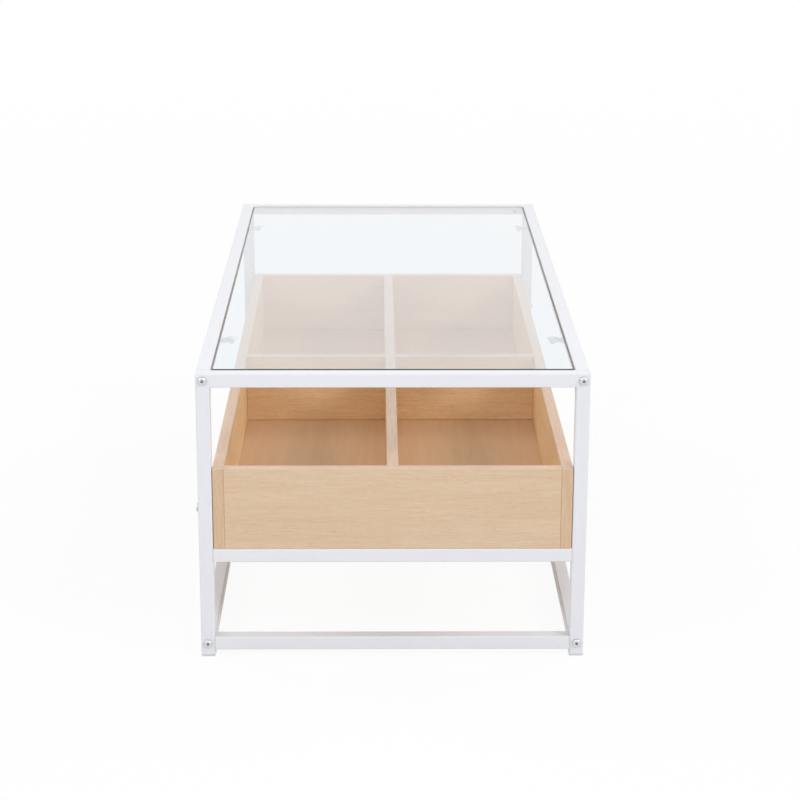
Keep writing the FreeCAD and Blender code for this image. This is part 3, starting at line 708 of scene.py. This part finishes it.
class COFFEE_TABLE_OT_foot_glides(bpy.types.Operator):
    """Finishes the four moulded foot glides"""

    bl_idname = "coffee_table.foot_glides"
    bl_label = "Foot Glides"

    def execute(self, context):
        dress(GLIDES, moulded_glide())
        ease_edges(GLIDES, context.scene.table_sizes.glide_arris)
        return {"FINISHED"}


class COFFEE_TABLE_OT_fittings(bpy.types.Operator):
    """Plates the bolts, nuts and inserts and finishes the dowels"""

    bl_idname = "coffee_table.fittings"
    bl_label = "Fittings"

    def execute(self, context):
        dress(FASTENERS, zinc_plate())
        dress(DOWELS, turned_beech())
        return {"FINISHED"}


class COFFEE_TABLE_OT_studio(bpy.types.Operator):
    """Sets the white floor, the soft light and the camera"""

    bl_idname = "coffee_table.studio"
    bl_label = "Studio"

    def execute(self, context):
        scene = context.scene
        scene.view_settings.view_transform = "Standard"
        self.lay_floor(scene)
        self.light_all_round(scene)
        self.hang_softboxes(scene)
        self.hang_key_lights(scene)
        self.place_camera(scene)
        return {"FINISHED"}

    def seen_directly(self, tree):
        """One for a ray that the eye, a reflection or the glass sends, and nothing for light on the table."""
        rays = add(tree, "ShaderNodeLightPath")
        mirrored = add(
            tree, "ShaderNodeMath", {0: rays.outputs["Is Camera Ray"], 1: rays.outputs["Is Glossy Ray"]},
            operation="MAXIMUM"
        )
        return add(
            tree, "ShaderNodeMath",
            {0: mirrored.outputs["Value"], 1: rays.outputs["Is Transmission Ray"]}, operation="MAXIMUM"
        ).outputs["Value"]

    def lay_floor(self, scene):
        """A wide paper floor that keeps the table's shadow and fades to plain white far off."""
        half_width = 40.0
        fade_start = 1.5
        fade_end = 6.0
        studio = scene.table_studio
        mesh = bmesh.new()
        bmesh.ops.create_grid(mesh, x_segments=1, y_segments=1, size=half_width)
        data = bpy.data.meshes.new("studio_floor")
        mesh.to_mesh(data)
        mesh.free()
        floor = bpy.data.objects.new("studio_floor", data)
        scene.collection.objects.link(floor)
        material, tree, shader = new_material("studio_paper_white")
        tree.nodes.remove(shader)
        paper = add(tree, "ShaderNodeBsdfDiffuse", {"Color": tuple(studio.floor_white)})
        glow = add(tree, "ShaderNodeEmission", {"Color": WHITE, "Strength": 1.0})
        place = add(tree, "ShaderNodeTexCoord").outputs["Object"]
        reach = add(tree, "ShaderNodeVectorMath", {0: place}, operation="LENGTH").outputs["Value"]
        fade = add(
            tree, "ShaderNodeMapRange",
            {"Value": reach, "From Min": fade_start, "From Max": fade_end, "To Min": studio.floor_glow}
        )
        share = add(
            tree, "ShaderNodeMath", {0: self.seen_directly(tree), 1: fade.outputs["Result"]},
            operation="MULTIPLY"
        )
        both = add(
            tree, "ShaderNodeMixShader",
            {"Fac": share.outputs["Value"], 1: paper.outputs["BSDF"], 2: glow.outputs["Emission"]}
        )
        tree.links.new(both.outputs["Shader"], tree.nodes["Material Output"].inputs["Surface"])
        data.materials.append(material)

    def light_all_round(self, scene):
        """Even fill light that the eye sees as white."""
        world = bpy.data.worlds.new("studio_white")
        world.use_nodes = True
        tree = world.node_tree
        strength = add(
            tree, "ShaderNodeMapRange", {"Value": self.seen_directly(tree), "To Min": scene.table_studio.fill}
        )
        background = tree.nodes["Background"]
        background.inputs["Color"].default_value = WHITE
        tree.links.new(strength.outputs["Result"], background.inputs["Strength"])
        scene.world = world

    def hang_softboxes(self, scene):
        """Two softboxes over the table and its front end, which make its top brighter than its feet."""
        studio = scene.table_studio
        front_tilt = math.radians(50)
        softboxes = (
            {"name": "overhead_softbox", "power": studio.overhead, "size": (1.4, 3.0),
             "place": (0.0, 0.2, 1.75), "tilt": 0.0},
            {"name": "front_softbox", "power": studio.front, "size": (2.0, 0.8),
             "place": (0.0, -1.5, 1.15), "tilt": front_tilt},
        )
        for box in softboxes:
            lamp = bpy.data.lights.new(box["name"], "AREA")
            lamp.shape = "RECTANGLE"
            lamp.size, lamp.size_y = box["size"]
            lamp.energy = box["power"]
            softbox = bpy.data.objects.new(box["name"], lamp)
            softbox.location = box["place"]
            softbox.rotation_euler.x = box["tilt"]
            softbox.visible_camera = False
            scene.collection.objects.link(softbox)

    def hang_key_lights(self, scene):
        """Two lights from above and in front, one to each side, and two behind."""
        studio = scene.table_studio
        distance = 3.0
        level = math.cos(studio.key_height)
        keys = (
            ("front_left_key", -studio.key_turn, (1 - studio.key_balance) * studio.key),
            ("front_right_key", studio.key_turn, (1 + studio.key_balance) * studio.key),
            ("rear_left_key", studio.key_turn - math.pi, studio.rear_share * studio.key),
            ("rear_right_key", math.pi - studio.key_turn, studio.rear_share * studio.key),
        )
        for name, turn, strength in keys:
            lamp = bpy.data.lights.new(name, "SUN")
            lamp.energy = strength
            lamp.angle = studio.key_spread
            towards = Vector((level * math.sin(turn), -level * math.cos(turn), math.sin(studio.key_height)))
            key = bpy.data.objects.new(name, lamp)
            key.location = distance * towards
            key.rotation_euler = towards.to_track_quat("Z", "Y").to_euler()
            scene.collection.objects.link(key)

    def place_camera(self, scene):
        """A long lens, in front of the table and higher than its top, that looks slightly down."""
        studio = scene.table_studio
        lens = bpy.data.cameras.new("studio_camera")
        lens.sensor_width = 36.0
        lens.lens = studio.eye_lens
        lens.shift_y = studio.eye_shift
        lens.clip_end = 200.0
        camera = bpy.data.objects.new("studio_camera", lens)
        turn = Matrix.Rotation(-studio.eye_yaw, 3, "Z")
        tilt = Matrix.Rotation(math.pi / 2 - studio.eye_pitch, 3, "X")
        lean = Matrix.Rotation(studio.eye_roll, 3, "Z")
        camera.location = studio.eye
        camera.rotation_euler = (turn @ tilt @ lean).to_euler()
        scene.collection.objects.link(camera)
        scene.camera = camera


class COFFEE_TABLE_PT_pieces(bpy.types.Panel):
    """Lists the table's pieces and its settings"""

    bl_idname = "COFFEE_TABLE_PT_pieces"
    bl_label = "Coffee Table"
    bl_space_type = "VIEW_3D"
    bl_region_type = "UI"
    bl_category = "Coffee Table"

    def draw(self, context):
        scene = context.scene
        for operator in OPERATORS:
            self.layout.operator(operator.bl_idname)
        for settings in (scene.table_colours, scene.table_sizes, scene.table_studio):
            column = self.layout.box().column()
            for name in settings.bl_rna.properties.keys():
                if name not in ("name", "rna_type"):
                    column.prop(settings, name)


OPERATORS = (
    COFFEE_TABLE_OT_steel_frame,
    COFFEE_TABLE_OT_storage_box,
    COFFEE_TABLE_OT_glass_top,
    COFFEE_TABLE_OT_suction_cups,
    COFFEE_TABLE_OT_foot_glides,
    COFFEE_TABLE_OT_fittings,
    COFFEE_TABLE_OT_studio,
)
CLASSES = (TableColours, TableSizes, TableStudio) + OPERATORS + (COFFEE_TABLE_PT_pieces,)


def register():
    """Registers the classes and hangs their settings on the scene."""
    for cls in CLASSES:
        bpy.utils.register_class(cls)
    bpy.types.Scene.table_colours = bpy.props.PointerProperty(type=TableColours)
    bpy.types.Scene.table_sizes = bpy.props.PointerProperty(type=TableSizes)
    bpy.types.Scene.table_studio = bpy.props.PointerProperty(type=TableStudio)


def unregister():
    """Takes the settings off the scene and unregisters the classes."""
    del bpy.types.Scene.table_studio
    del bpy.types.Scene.table_sizes
    del bpy.types.Scene.table_colours
    for cls in reversed(CLASSES):
        bpy.utils.unregister_class(cls)


def main():
    """Finishes the pieces in order."""
    register()
    bpy.ops.coffee_table.steel_frame()
    bpy.ops.coffee_table.storage_box()
    bpy.ops.coffee_table.glass_top()
    bpy.ops.coffee_table.suction_cups()
    bpy.ops.coffee_table.foot_glides()
    bpy.ops.coffee_table.fittings()
    bpy.ops.coffee_table.studio()


if __name__ == "__main__":
    main()
